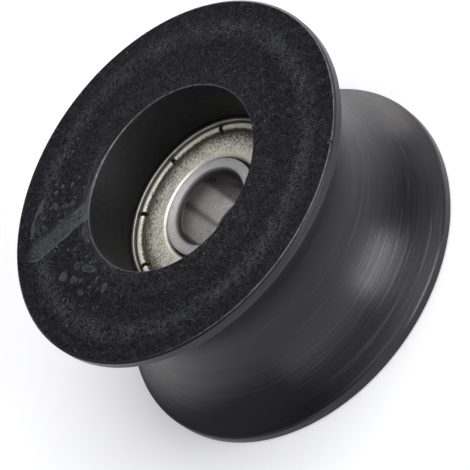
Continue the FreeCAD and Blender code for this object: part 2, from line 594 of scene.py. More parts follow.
@dataclass
class RoundCoordinates:
    """Object coordinates of a turned piece, in millimetres, as node sockets."""

    graph: NodeGraph
    place: Socket
    flat: Socket
    radius: Socket
    height: Socket
    spin: Socket

    @classmethod
    def of(cls, graph: NodeGraph) -> "RoundCoordinates":
        """Reads Object coordinates and works out radius, height and direction from the axis.

        Args:
            graph: the material's nodes.

        Returns:
            The coordinates.
        """
        place = graph.scaled(graph.add("ShaderNodeTexCoord").outputs["Object"], 1 / MM)
        flat = graph.vector("MULTIPLY", place, (1.0, 1.0, 0.0)).outputs[0]
        spin = graph.vector("NORMALIZE", flat, (0.0, 0.0, 0.0)).outputs[0]
        return cls(graph, place, flat, graph.length(flat), graph.split(place)[2], spin)

    def lines(self, pitch_mm: float, drift: float = 0.6, detail: float = 3.0) -> Socket:
        """Makes noise that is drawn out round the axis, as a turning tool leaves it.

        Args:
            pitch_mm: the width of a line and its gap.
            drift: how much a line changes on its way round.
            detail: how many finer layers there are.

        Returns:
            A value from 0 to 1.
        """
        graph = self.graph
        fast = graph.scaled(graph.combine(self.radius, 0.0, self.height), 1 / pitch_mm)
        both = graph.vector("ADD", fast, graph.scaled(self.spin, drift)).outputs[0]
        return graph.noise(both, 1.0, detail=detail, rough=0.62)

    def sector(self, azimuth: float, half: float, soft: float) -> Socket:
        """Finds the side of the piece that faces an azimuth.

        Args:
            azimuth: the middle of the side, in degrees.
            half: half the angle over which the result is 1.
            soft: the angle more over which it falls to 0.

        Returns:
            A value from 0 to 1.
        """
        turn = math.radians(azimuth)
        facing = self.graph.vector("DOT_PRODUCT", self.spin, (math.cos(turn), math.sin(turn), 0.0))
        edge, core = math.cos(math.radians(half + soft)), math.cos(math.radians(half))
        return self.graph.step(facing.outputs["Value"], edge, core)


# Finishes


@dataclass(frozen=True)
class Mark:
    """One dried drop or dab on the front face: an ellipse in millimetres, filled or with a bright rim."""

    x: float
    y: float
    long: float
    wide: float
    azimuth: float = 0.0
    fill: float = 0.3
    rim: float = 0.6

    def shade(self, graph: NodeGraph, where: Socket) -> Socket:
        """Says how strong the mark is at a place of the face.

        Args:
            graph: the material's nodes.
            where: the place.

        Returns:
            A value from 0 to 1: the fill inside the ellipse and the rim near its edge.
        """
        out = graph.length(graph.placed(where, self.x, self.y, self.azimuth, (self.long, self.wide)))
        body = graph.product(graph.step(out, 1.1, 0.8), self.fill)
        return graph.math("MAXIMUM", body, graph.product(graph.hump(out, 0.86, 0.3), self.rim))


MARKS = (
    Mark(-18.1, 5.35, 0.72, 0.66, 60, 0.42, 0.6),
    Mark(-17.6, 3.3, 0.6, 0.45, 100, 0.35, 0.6),
    Mark(-17.05, 2.2, 0.36, 0.34, 0, 0.35, 0.65),
    Mark(-18.25, 0.75, 0.6, 0.38, 109, 0.3, 0.7),
    Mark(-15.9, -2.35, 0.66, 0.32, 20, 0.5, 0.9),
    Mark(-15.6, -0.26, 0.42, 0.26, 0, 0.6, 0.6),
    Mark(-15.95, 4.4, 0.62, 0.36, 60, 0.15, 0.6),
    Mark(-15.35, 2.2, 1.25, 0.46, 104, 0.12, 0.6),
    Mark(-14.15, 4.02, 0.2, 0.17, 0, 1.0, 0.4),
    Mark(-14.42, 6.76, 0.3, 0.24, 30, 0.45, 0.5),
    Mark(-12.0, 7.55, 0.45, 0.24, 30, 0.3, 0.5),
    Mark(-10.32, 16.64, 0.36, 0.32, 0, 0.85, 0.2),
    Mark(-9.07, 16.32, 0.3, 0.25, 0, 0.8, 0.2),
    Mark(-8.24, 14.98, 0.42, 0.24, 20, 0.7, 0.4),
    Mark(-6.88, 14.63, 0.28, 0.22, 0, 0.8, 0.2),
    Mark(-11.7, 15.1, 0.75, 0.42, 80, 0.42, 0.35),
    Mark(-10.95, 13.6, 0.6, 0.4, 120, 0.38, 0.35),
    Mark(-10.1, 12.6, 0.5, 0.42, 100, 0.42, 0.3),
    Mark(-13.9, 15.6, 0.38, 0.22, 20, 0.6, 0.3),
    Mark(-13.3, 17.45, 1.5, 0.42, 15, 0.6, 0.25),
    Mark(-15.9, 16.1, 1.5, 0.36, 42, 0.55, 0.3),
    Mark(-5.87, 19.94, 0.2, 0.16, 0, 1.0, 0.3),
    Mark(-5.55, 19.25, 0.17, 0.14, 0, 1.0, 0.3),
)


@dataclass(frozen=True)
class Smear:
    """A wiped streak on the front face, from the mouth to the rim.

    The streak runs from its start along its azimuth. Two curves over its run, each
    in shares of its length, give the places of its lower and upper edge.
    """

    start: Span = (-10.4, 8.0)
    azimuth: float = 148.2
    length: float = 10.6
    brush_azimuth: float = 141.0
    brush_size: Span = (1.4, 0.13)
    worm_scale: float = 2.4
    lower: tuple[Span, ...] = (
        (0, 0.3), (0.14, 0.27), (0.3, 0.41), (0.5, 0.55), (0.68, 0.7), (0.82, 0.76), (0.92, 0.66), (1, 0.4),
    )
    lower_range: Span = (3.0, 1.0)
    upper: tuple[Span, ...] = ((0, 0.3), (0.2, 0.36), (0.4, 0.45), (0.6, 0.6), (0.8, 0.72), (1, 0.8))
    upper_range: Span = (4.0, 4.2)

    def past(
        self, graph: NodeGraph, share: Socket, side: Socket, knots: Sequence[Span], span: Span
    ) -> Socket:
        """Measures how far a place lies over an edge of the streak.

        Args:
            graph: the material's nodes.
            share: how far along the streak the place is.
            side: how far across it the place is, in millimetres.
            knots: the edge's curve.
            span: the curve's full height in millimetres, and how far its foot lies down.

        Returns:
            The distance in millimetres.
        """
        edge = graph.math("SUBTRACT", graph.product(graph.curve(share, knots), span[0]), span[1])
        return graph.math("SUBTRACT", side, edge)

    def shade(self, at: RoundCoordinates, loose: Socket) -> Socket:
        """Says how strong the smear is: crisp on its lower side and brushed along its length.

        Args:
            at: the face's coordinates.
            loose: the same place with a slight wobble.

        Returns:
            A value from 0 to 1.
        """
        graph = at.graph
        run, side, _ = graph.split(graph.placed(loose, *self.start, self.azimuth, (1.0, 1.0)))
        share = graph.product(run, 1 / self.length)
        below = self.past(graph, share, side, self.lower, self.lower_range)
        above = self.past(graph, share, side, self.upper, self.upper_range)
        inside = graph.product(graph.step(below, 0.12, -0.12), graph.step(above, -0.5, 0.5))
        end = self.length + 0.4
        reach = graph.product(graph.step(run, -0.4, 0.1), graph.step(run, end, end - 1.8))
        brushed = graph.noise(
            graph.placed(at.flat, 0.0, 0.0, self.brush_azimuth, self.brush_size), 1.0, detail=3.0, rough=0.65
        )
        worms = graph.hump(graph.noise(at.flat, self.worm_scale, detail=2.0, rough=0.6, warp=0.5), 0.5, 0.12)
        clumps = graph.total(graph.product(worms, 0.7), 0.22)
        fading = graph.step(run, end, 6.0, 0.4, 1.0)
        body = graph.product(inside, graph.step(brushed, 0.32, 0.62, 0.25, 1.0), clumps, fading)
        line = graph.product(graph.hump(below, 0.0, 0.2), 0.75)
        second = graph.product(graph.hump(below, -0.45, 0.15), graph.step(run, 4.0, 2.5), 0.6)
        return graph.product(graph.total(body, line, second), reach)


@dataclass(frozen=True)
class BlackNylon:
    """Black nylon: satin and finely lined where it was turned, grainy and scuffed on its flat faces.

    Lengths are in millimetres. A side is an azimuth, half the angle over which it
    counts in full and the angle more over which it fades, in degrees.
    """

    colour: Colour = (0.0042, 0.0040, 0.0052)
    # Darker colour of the counterbore wall: painted shade in the recess.
    well_shade_colour: Colour = (0.0022, 0.0022, 0.0023)
    haze: Colour = (0.062, 0.064, 0.074)
    mark: Colour = (0.098, 0.101, 0.112)
    fleck: Colour = (0.19, 0.192, 0.2)
    score: Colour = (0.04, 0.0385, 0.043)
    edge: Colour = (0.26, 0.255, 0.265)
    shine: tuple[float, float, float, float] = (0.965, 0.94, 1.0, 1.0)
    face_height: float = 12.7
    mouth: float = 13.18
    rim: float = 25.21
    seat_height: float = -3.5
    grain_scale: float = 3.6
    fine_pitch: float = 0.16
    coarse_pitch: float = 0.45
    line_depth: float = 0.03
    grain_depth: float = 0.02
    satin: Span = (0.28, 0.4)
    scuffed: Span = (0.2, 0.32)
    dusty: float = 0.22
    rear_groove: Span = (-2.0, -8.0)
    # The scored side is where the lamps' shine falls: a painted sheen on the crests of the lines.
    score_sheen_side: Sector = (-42.0, 25.0, 60.0)
    stroke_azimuths: tuple[float, ...] = (18.0, 63.0, 104.0, 151.0)
    stroke_size: Span = (1.5, 0.15)
    scuff_ring: Span = (21.3, 2.2)
    scuff_inner: Span = (17.5, 16.3)
    scuff_levels: Triple = (0.6, 0.15, 0.3)
    # Sides of the light edge lines, which are wear and painted highlight.
    mouth_wear_and_glint_side: Sector = (107.0, 12.0, 24.0)
    right_mouth_side: Sector = (25.0, 35.0, 40.0)
    right_rim_side: Sector = (-50.0, 50.0, 50.0)
    speck_kinds: tuple[Triple, ...] = ((1.7, 0.16, 0.66), (0.8, 0.11, 0.5))
    droplet_side: Sector = (142.0, 36.0, 16.0)
    veil_side: Sector = (128.0, 12.0, 22.0)
    thin_veil_side: Sector = (170.0, 25.0, 25.0)
    veil_pitch: float = 0.2

    def material(self) -> bpy.types.Material:
        """Builds the material.

        Returns:
            The finished material, read in Object coordinates.
        """
        graph = NodeGraph("black_nylon")
        at = RoundCoordinates.of(graph)
        face = graph.step(graph.math("ABSOLUTE", at.height), self.face_height - 0.05, self.face_height - 0.01)
        front = graph.product(face, graph.step(at.height, 0.0, 1.0))
        turned = graph.inverse(face)
        grain = graph.noise(at.place, self.grain_scale, detail=4.0, rough=0.75)
        strokes = self.strokes(at)
        fine, coarse = at.lines(self.fine_pitch), at.lines(self.coarse_pitch, drift=0.9, detail=4.0)
        rearward = graph.step(at.height, *self.rear_groove)
        well = graph.product(
            graph.step(at.radius, self.mouth + 0.06, self.mouth + 0.02),
            graph.step(at.height, self.seat_height - 0.1, self.seat_height + 0.1),
        )
        dust = graph.step(graph.noise(at.place, 1.3, detail=4.0, rough=0.7), 0.45, 0.8, 0.0, 0.16)
        colour = graph.mix(graph.product(face, self.scuffs(at, grain, strokes)), self.colour, self.haze)
        colour = graph.mix(graph.product(front, self.marks(at, grain, strokes)), colour, self.mark)
        colour = graph.mix(graph.product(front, self.specks(at)), colour, self.fleck)
        # Counterbore wall: painted shade in the recess, mixed with real dust.
        colour = graph.mix(graph.product(well, turned), colour, graph.mix(dust, self.well_shade_colour, self.haze))
        crests = graph.step(coarse, 0.56, 0.68)
        scored = graph.product(turned, crests, graph.inverse(well), self.score_depth(at, rearward))
        colour = graph.mix(scored, colour, self.score)
        # Light edge lines: burnished wear and painted highlights.
        colour = graph.mix(self.edges_worn_and_glinting(at), colour, self.edge)
        lined = graph.math("ADD", graph.step(fine, 0.3, 0.7, *self.satin), graph.product(well, self.dusty))
        ridges = graph.product(coarse, graph.math("ADD", graph.product(rearward, 0.6), 1.0))
        relief = graph.bump(graph.math("ADD", graph.product(fine, 0.3), ridges), 1.0, self.line_depth)
        return graph.turned_surface(
            0.5,
            Base_Color=colour,
            Roughness=graph.blend(face, lined, graph.step(grain, 0.3, 0.7, *self.scuffed)),
            Normal=graph.bump(graph.product(grain, face), 0.45, self.grain_depth, relief),
            IOR=1.5,
            Specular_IOR_Level=0.4,
            Specular_Tint=self.shine,
        )

    def strokes(self, at: RoundCoordinates) -> list[Socket]:
        """Makes noise that is drawn out along some directions; its crests are short straight hairlines.

        Args:
            at: the piece's coordinates.

        Returns:
            One value from 0 to 1 for each direction.
        """
        graph = at.graph
        places = (
            graph.placed(at.flat, 5.3 * seed, 2.9 * seed, azimuth, self.stroke_size)
            for seed, azimuth in enumerate(self.stroke_azimuths)
        )
        return [graph.noise(place, 1.0, detail=1.5) for place in places]

    def scuffs(self, at: RoundCoordinates, grain: Socket, strokes: Sequence[Socket]) -> Socket:
        """Greys the flat faces with hairs and grain, thickest in a ring near the rim.

        Args:
            at: the piece's coordinates.
            grain: the faces' fine noise.
            strokes: the directed noises.

        Returns:
            The share of haze, from 0 to 1.
        """
        graph = at.graph
        in_ring, in_middle, anywhere = self.scuff_levels
        cloud = graph.noise(at.place, 0.28, detail=3.0, rough=0.6, warp=0.4)
        ring = graph.product(graph.hump(at.radius, *self.scuff_ring), graph.step(cloud, 0.25, 0.6, 0.35, 1.0))
        inner = graph.step(at.radius, *self.scuff_inner)
        inner = graph.product(inner, graph.step(cloud, 0.35, 0.65, 0.3, 1.0))
        curly = graph.product(graph.hump(graph.noise(at.place, 1.7, detail=1.5, warp=0.7), 0.5, 0.08), 0.5)
        hairs = graph.total(curly, *[graph.step(stroke, 0.55, 0.66, 0.0, 0.85) for stroke in strokes])
        level = graph.math("ADD", graph.product(ring, in_ring), graph.product(inner, in_middle))
        speckled = graph.total(graph.product(hairs, 0.9), graph.step(grain, 0.5, 0.8, 0.0, 0.6))
        return graph.product(graph.math("ADD", level, anywhere), speckled)

    def score_depth(self, at: RoundCoordinates, rearward: Socket) -> Socket:
        """Says how light the crests of the coarse lines are: most on the side where the lamps' shine falls, a
        painted sheen, and towards the rear.

        Args:
            at: the piece's coordinates.
            rearward: 0 in the middle of the groove and 1 near its rear lip.

        Returns:
            A value from 0 to 1.
        """
        graph = at.graph
        level = graph.product(graph.total(graph.product(rearward, 0.5), 0.3), at.sector(*self.score_sheen_side))
        return graph.total(level, 0.1)

    def edges_worn_and_glinting(self, at: RoundCoordinates) -> Socket:
        """Paints light lines on the front edges, at the mouth and round the rim: burnished wear and painted
        highlights where the lamps catch the edges.

        Args:
            at: the piece's coordinates.

        Returns:
            A value from 0 to 1.
        """
        graph = at.graph
        high = graph.step(at.height, self.face_height - 0.16, self.face_height - 0.08)
        patchy = graph.step(graph.noise(at.place, 0.8, detail=3.0), 0.3, 0.7, 0.35, 1.0)
        # Mouth line: wear and painted highlight on the sides where the lamps glint.
        worn = graph.product(at.sector(*self.mouth_wear_and_glint_side), 0.78)
        worn = graph.total(worn, graph.product(at.sector(*self.right_mouth_side), 0.4), 0.1)
        right = graph.total(at.sector(*self.right_rim_side), 0.05)
        mouth = graph.product(graph.hump(at.radius, self.mouth - 0.02, 0.12), worn)
        rim = graph.product(graph.hump(at.radius, self.rim + 0.02, 0.1), right, 0.5)
        return graph.product(graph.total(mouth, rim), high, patchy)

    def marks(self, at: RoundCoordinates, grain: Socket, strokes: Sequence[Socket]) -> Socket:
        """Gathers the larger marks that only the front face has.

        Args:
            at: the piece's coordinates.
            grain: the faces' fine noise.
            strokes: the directed noises, whose highest crests are scratches.

        Returns:
            A value from 0 to 1 for drops, droplets, the smear, the veil and scratches.
        """
        graph = at.graph
        wobble = graph.vector("SUBTRACT", graph.noise_vector(at.flat, 0.9), (0.5, 0.5, 0.5)).outputs[0]
        moved = graph.vector("MULTIPLY_ADD", wobble, (0.7, 0.7, 0.0))
        graph.feed(moved.inputs[2], at.flat)
        loose = moved.outputs[0]
        drops = graph.total(*[mark.shade(graph, loose) for mark in MARKS])
        speckle = graph.step(grain, 0.3, 0.65, 0.5, 1.1)
        scratches = graph.total(*[graph.step(stroke, 0.68, 0.76, 0.0, 0.65) for stroke in strokes])
        smear = Smear().shade(at, loose)
        return graph.total(graph.product(drops, speckle), self.droplets(at), smear, self.veil(at), scratches)

    def specks(self, at: RoundCoordinates) -> Socket:
        """Scatters light dust specks of two kinds, each with cells for a millimetre, size and rarity.

        Args:
            at: the piece's coordinates.

        Returns:
            A value from 0 to 1.
        """
        graph, found = at.graph, []
        for scale, reach, rare in self.speck_kinds:
            out, pick = graph.cells(at.flat, scale)
            dot = graph.step(out, reach, reach * 0.35)
            found.append(graph.product(dot, graph.step(pick[0], rare, 1.0, 0.0, 0.95)))
        return graph.total(*found)

    def droplets(self, at: RoundCoordinates) -> Socket:
        """Scatters small dried drops with brighter rims over one side of the face.

        Args:
            at: the piece's coordinates.

        Returns:
            A value from 0 to 1.
        """
        graph = at.graph
        out, pick = graph.cells(at.flat, 1.0)
        rim = graph.product(graph.hump(out, 0.15, 0.07), 0.75)
        drop = graph.total(graph.step(out, 0.22, 0.15, 0.0, 0.35), rim)
        side = graph.product(at.sector(*self.droplet_side), graph.step(at.radius, 22.8, 20.0))
        return graph.product(drop, side, graph.step(pick[1], 0.3, 0.7, 0.0, 1.0))

    def veil(self, at: RoundCoordinates) -> Socket:
        """Crowds hairlines against the mouth's edge on one side.

        Args:
            at: the piece's coordinates.

        Returns:
            A value from 0 to 1.
        """
        graph = at.graph
        around = at.lines(self.veil_pitch, drift=3.5, detail=2.0)
        hairs = graph.math("MAXIMUM", graph.hump(around, 0.5, 0.06), graph.step(around, 0.6, 0.7))
        near = graph.step(at.radius, self.mouth + 2.0, self.mouth + 0.1)
        left = graph.total(at.sector(*self.veil_side), graph.product(at.sector(*self.thin_veil_side), 0.3))
        return graph.total(graph.product(hairs, near, left), graph.product(near, near, left, 0.1))


@dataclass(frozen=True)
class GroundSteel:
    """Ring steel: matt ground faces with darker patches, and a honed bore in painted shade with painted light
    on two sides.

    Lengths are in millimetres and sides are as in the nylon's finish.
    """

    colour: Colour = (0.99, 0.97, 0.955)
    dark_mottle_and_shade: Colour = (0.23, 0.218, 0.215)
    bore: Colour = (0.97, 0.94, 0.92)
    # Colour of the painted shade in chamfers, gaps and the bore's mouth.
    shade_colour: Colour = (0.03, 0.028, 0.028)
    bore_radius: float = 5.0
    chamfer: Span = (0.85, 0.2)
    outer_from: float = 12.5
    outer_shade: Span = (0.6, 0.9)
    seam: Span = (6.92, 7.8)
    notch: Span = (11.2, 12.7)
    throat: Span = (0.6, 3.6)
    middle: float = 0.5
    face: float = 4.0
    # Sides of the bore that get painted light.
    bore_lit_sides: tuple[Sector, ...] = ((84.0, 12.0, 13.0), (136.0, 17.0, 15.0))
    lit_bore_side: Sector = (138.0, 14.0, 14.0)
    metal: Span = (0.85, 0.3)

    def material(self) -> bpy.types.Material:
        """Builds the material.

        Returns:
            The finished material, read in Object coordinates.
        """
        graph = NodeGraph("ground_steel")
        at = RoundCoordinates.of(graph)
        inside = graph.step(at.radius, self.bore_radius + 0.06, self.bore_radius + 0.02)
        lines = at.lines(0.12)
        blotch = graph.noise(at.place, 0.9, detail=4.0, rough=0.65)
        spots = graph.step(graph.noise(at.place, 3.0, detail=2.0), 0.6, 0.7)
        worn = graph.total(graph.product(graph.step(blotch, 0.5, 0.75), 0.25), graph.product(spots, 0.25))
        # In the bore the dark colour is painted shade, and its two lit sides get painted light.
        bright = graph.total(*[at.sector(*side) for side in self.bore_lit_sides], 0.03)
        colour = graph.mix(inside, self.colour, graph.mix(bright, self.dark_mottle_and_shade, self.bore))
        colour = graph.mix(worn, colour, self.dark_mottle_and_shade)
        # Less metal on one side of the bore makes it brighter there: painted light.
        lit_bore_metal = graph.product(inside, at.sector(*self.lit_bore_side))
        ground, honed = graph.step(lines, 0.25, 0.75, 0.42, 0.56), graph.step(blotch, 0.3, 0.7, 0.24, 0.38)
        return graph.turned_surface(
            0.4,
            # Painted shade in the chamfers, the gaps and the bore's mouth.
            Base_Color=graph.mix(self.painted_shade(at, inside), colour, self.shade_colour),
            Metallic=graph.step(lit_bore_metal, 0.0, 1.0, *self.metal),
            Roughness=graph.blend(inside, ground, honed),
            Normal=graph.bump(graph.math("ADD", lines, graph.product(blotch, 0.5)), 0.4, 0.006),
        )

    def painted_shade(self, at: RoundCoordinates, inside: Socket) -> Socket:
        """Paints shade on the chamfers, the outer ring's edge, both deep gaps and the bore near its mouth.

        Args:
            at: the piece's coordinates.
            inside: 1 in the bore.

        Returns:
            The share of painted shade, from 0 to 1.
        """
        graph, radius = at.graph, at.radius
        chamfer = graph.step(radius, *(self.bore_radius + width for width in self.chamfer))
        chamfer = graph.product(chamfer, graph.inverse(inside))
        outer = graph.step(radius, self.outer_from + 0.05, self.outer_from + 0.22, *self.outer_shade)
        outer = graph.product(outer, graph.step(radius, self.outer_from - 0.02, self.outer_from + 0.05))
        from_middle = graph.math("ABSOLUTE", graph.math("SUBTRACT", at.height, self.middle))
        deep = graph.step(from_middle, self.face - 0.1, self.face - 0.2)
        seam, notch = (
            graph.product(graph.step(radius, low, low + rise), graph.step(radius, high, high - fall), deep)
            for (low, high), rise, fall in ((self.seam, 0.03, 0.1), (self.notch, 0.1, 0.05))
        )
        throat = graph.product(inside, graph.step(at.height, *self.throat), 0.72)
        return graph.total(
            graph.product(chamfer, 0.95), outer, graph.product(notch, 0.7), graph.product(seam, 0.95), throat
        )


@dataclass(frozen=True)
class ZincPlate:
    """Zinc plated sheet: yellowish grey, with the fine even grain of the plating.

    The painted shade is a curve over the sheet's width, from its inner to its outer radius.
    """

    colour: Colour = (0.98, 0.955, 0.83)
    dark_mottle_and_shade: Colour = (0.075, 0.068, 0.046)
    inner: float = 7.25
    outer: float = 12.4
    slots: float = 9.0
    shade_over_width: tuple[Span, ...] = (
        (0.0, 0.0), (0.12, 0.0), (0.3, 0.04), (0.45, 0.16), (0.57, 0.38), (0.66, 0.59), (0.71, 0.55),
        (0.75, 1.0), (0.795, 1.0), (0.828, 0.1), (0.87, 0.0), (0.97, 0.02), (0.985, 0.1), (1.0, 0.4),
    )
    channel_end: float = 0.85
    clean_lip: Span = (0.16, 0.08)
    metal: Span = (0.62, 0.4)
    grain_depth: float = 0.03

    def material(self) -> bpy.types.Material:
        """Builds the material.

        Returns:
            The finished material, read in Object coordinates.
        """
        graph = NodeGraph("zinc_plate")
        at = RoundCoordinates.of(graph)
        grain = graph.noise(at.place, 3.3, detail=3.0, rough=0.8, warp=0.3)
        blotch = graph.step(graph.noise(at.place, 0.7, detail=3.0), 0.35, 0.75)
        across = graph.product(graph.math("SUBTRACT", at.radius, self.inner), 1 / (self.outer - self.inner))
        # Painted shade over the sheet's width: the web darker towards the channel, the channel darkest, the
        # outer edge dark again; the grain's speckle grows with it.
        sheet_shade = graph.curve(across, self.shade_over_width)
        speckle = graph.product(
            graph.step(grain, 0.42, 0.66),
            graph.step(sheet_shade, 0.0, 0.3, 0.6, 0.85),
            graph.step(across, self.channel_end + 0.01, self.channel_end - 0.01, 0.3, 1.0),
            graph.step(across, *reversed(self.clean_lip)),
        )
        clean = graph.step(across, *self.clean_lip)
        share = graph.total(speckle, sheet_shade, graph.product(blotch, 0.16), self.slot_edges(at, across))
        duller = graph.step(clean, 0.0, 1.0, 0.12, 0.0)
        return graph.surface(
            Base_Color=graph.mix(share, self.colour, self.dark_mottle_and_shade),
            Metallic=graph.step(across, 0.06, 0.14, *self.metal),
            Roughness=graph.math("ADD", graph.step(grain, 0.3, 0.7, 0.32, 0.4), duller),
            Normal=graph.bump(graph.product(grain, graph.inverse(clean)), 0.7, self.grain_depth),
        )

    def slot_edges(self, at: RoundCoordinates, across: Socket) -> Socket:
        """Paints shade on the sheet at its slots, where the cosine of the azimuth times their number is near
        1.

        Args:
            at: the piece's coordinates.
            across: how far over the sheet's width the place is.

        Returns:
            A value from 0 to 1.
        """
        graph = at.graph
        x, y, _ = graph.split(at.spin)
        around = graph.math("COSINE", graph.product(graph.math("ARCTAN2", y, x), self.slots))
        return graph.product(graph.step(around, 0.955, 0.982), graph.step(across, 0.78, 0.83))


@dataclass(frozen=True)
class PressedSteel:
    """Bright pressed sheet of the cage, lightly oiled."""

    colour: Colour = (0.48, 0.47, 0.45)
    oiled: Colour = (0.25, 0.24, 0.22)

    def material(self) -> bpy.types.Material:
        """Builds the material.

        Returns:
            The finished material, read in Object coordinates.
        """
        graph = NodeGraph("pressed_steel")
        grain = graph.noise(RoundCoordinates.of(graph).place, 4.0, detail=3.0)
        return graph.surface(
            Base_Color=graph.mix(graph.product(grain, 0.5), self.colour, self.oiled),
            Metallic=1.0,
            Roughness=graph.step(grain, 0.3, 0.7, 0.25, 0.4),
            Normal=graph.bump(grain, 0.3, 0.01),
        )


@dataclass(frozen=True)
class PolishedBall:
    """Bearing balls, polished, with a trace of grease."""

    colour: Colour = (0.72, 0.72, 0.73)
    grease: Colour = (0.5, 0.47, 0.4)

    def material(self) -> bpy.types.Material:
        """Builds the material.

        Returns:
            The finished material, read in Object coordinates.
        """
        graph = NodeGraph("polished_ball")
        film = graph.noise(RoundCoordinates.of(graph).place, 0.8, detail=2.0)
        return graph.surface(
            Base_Color=graph.mix(graph.step(film, 0.45, 0.8, 0.0, 0.3), self.colour, self.grease),
            Metallic=1.0,
            Roughness=graph.step(film, 0.3, 0.7, 0.06, 0.16),
        )


# Sub-assemblies


@dataclass
class Roller:
    """The nylon body: a lathe-turned outline with a round rope groove and a deep counterbore.

    Lengths are in millimetres, angles in degrees and nick_spread in square millimetres.
    """

    radius: float = 25.49
    half_width: float = 12.7
    rim_break: Span = (0.29, 0.24)
    land: float = 1.3
    lip: Span = (0.15, 0.27)
    lip_round: float = 0.12
    throat: float = 19.3
    seat: float = 13.0
    mouth_break: float = 0.18
    rear_hole: float = 11.0
    seat_height: float = -3.5
    edge_round: float = 0.08
    rim_round: float = 0.07
    land_round: float = 0.09
    ledge_round: float = 0.1
    nick_azimuth: float = 305.3
    nick_depth: float = 0.22
    nick_spread: float = 0.22
    nick_reach: float = 0.3
    nick_insets: tuple[float, ...] = (1.6, 1.1, 0.8, 0.55, 0.35)
    crowding: float = 0.9
    groove_points: int = 85
    columns: int = 540

    def groove(self) -> np.ndarray:
        """Draws the groove as an arc of the circle through its throat and both lips.

        Returns:
            (n, 2) radius and height from the front lip to the rear one.
        """
        lip_height = self.half_width - self.land - self.lip[1]
        rise = self.radius - self.lip[0] - self.throat
        groove = (rise**2 + lip_height**2) / (2 * rise)
        reach = math.asin(lip_height / groove)
        swing = np.linspace(reach, -reach, self.groove_points)
        return np.stack([self.throat + groove * (1 - np.cos(swing)), groove * np.sin(swing)], axis=1)

    def outline(self) -> np.ndarray:
        """Draws the closed outline.

        Returns:
            (n, 2) radius and height, with every edge a small arc.
        """
        arc = self.groove()
        arc_radii = np.zeros(len(arc))
        arc_radii[[0, -1]] = self.lip_round
        end, land_end, edge = self.half_width, self.half_width - self.land, self.edge_round
        mouth, hole = self.seat + self.mouth_break, self.rear_hole + self.mouth_break
        rim, broken = self.radius - self.rim_break[0], end - self.rim_break[1]
        before = [
            (self.seat, end - self.mouth_break, edge),
            (mouth, end, edge),
            *((rim - inset, end, 0.0) for inset in self.nick_insets),
            (rim, end, self.rim_round),
            (self.radius, broken, self.land_round),
            (self.radius, land_end, self.land_round),
        ]
        after = [
            (self.radius, -land_end, self.land_round),
            (self.radius, -broken, self.land_round),
            (rim, -end, self.rim_round),
            (hole, -end, edge),
            (self.rear_hole, self.mouth_break - end, edge),
            (self.rear_hole, self.seat_height, self.ledge_round),
            (self.seat, self.seat_height, 0.0),
        ]
        before, after = np.array(before), np.array(after)
        corners = np.concatenate([before[:, :2], arc, after[:, :2]])
        radii = np.concatenate([before[:, 2], arc_radii, after[:, 2]])
        return counterclockwise(with_holding_points(rounded_outline(corners, radii, 5), 0.05))

    def angles(self) -> np.ndarray:
        """Angles round the turn that draw together at the nick: t - 0.9 sin t from there."""
        steps = even_angles(self.columns)
        return math.radians(self.nick_azimuth) + steps - self.crowding * np.sin(steps)

    def build(self, material: bpy.types.Material) -> bpy.types.Object:
        """Makes the roller with the small dent that its front rim has.

        The dent is a bell curve over the distance from the rim's corner, times one
        over the way round the rim.

        Args:
            material: the nylon finish.

        Returns:
            The piece, in place of the CAD roller.
        """
        outline, angles = self.outline(), self.angles()
        points = turned_points(outline, angles)
        arc = (angles - math.radians(self.nick_azimuth)) * self.radius
        near = (outline[:, :1] - self.radius) ** 2 + (outline[:, 1:] - self.half_width) ** 2
        dent = self.nick_depth * np.exp(-near / self.nick_spread)
        dent = dent * np.exp(-((arc[None, :] / self.nick_reach) ** 2))
        points[..., 0] -= dent * np.cos(angles)
        points[..., 1] -= dent * np.sin(angles)
        points[..., 2] -= dent
        piece = make_piece("nylon_roller", points, ring_grid(len(outline), len(angles)))
        settle(piece, "pulley", Slot.NYLON, material, "roller")
        return piece


@dataclass
class BearingSizes:
    """Sizes that the bearing's pieces share, in millimetres."""

    middle: float = 0.5
    bore: float = 5.0
    outside: float = 13.0
    half_width: float = 4.0
    ball: float = 2.3816
    race_clearance: float = 0.05
    race_relief: float = 0.095
    race_depth: float = 0.83356
    race_points: int = 25
    notch_depth: float = 1.3
    notch_radius: float = 12.44
    step_radius: float = 6.952
    columns: int = 288

    @property
    def pitch(self) -> float:
        """The radius of the circle of ball centres."""
        return (self.bore + self.outside) / 2

    def shoulder(self, side: float) -> float:
        """The radius of a ring's shoulder; side is 1 outside the balls and -1 inside."""
        return self.pitch + side * (self.ball + self.race_clearance - self.race_depth)

    def raceway(self, side: float) -> np.ndarray:
        """Draws a raceway's arc.

        Args:
            side: 1 outside the balls and -1 inside.

        Returns:
            (n, 2) radius and height, from its front edge to its rear edge.
        """
        reach = self.ball + self.race_relief
        half = math.acos((reach - self.race_depth) / reach)
        swing = np.linspace(half, -half, self.race_points)
        bottom = self.pitch + side * (self.ball + self.race_clearance)
        return np.stack([bottom - side * reach * (1 - np.cos(swing)), reach * np.sin(swing)], axis=1)


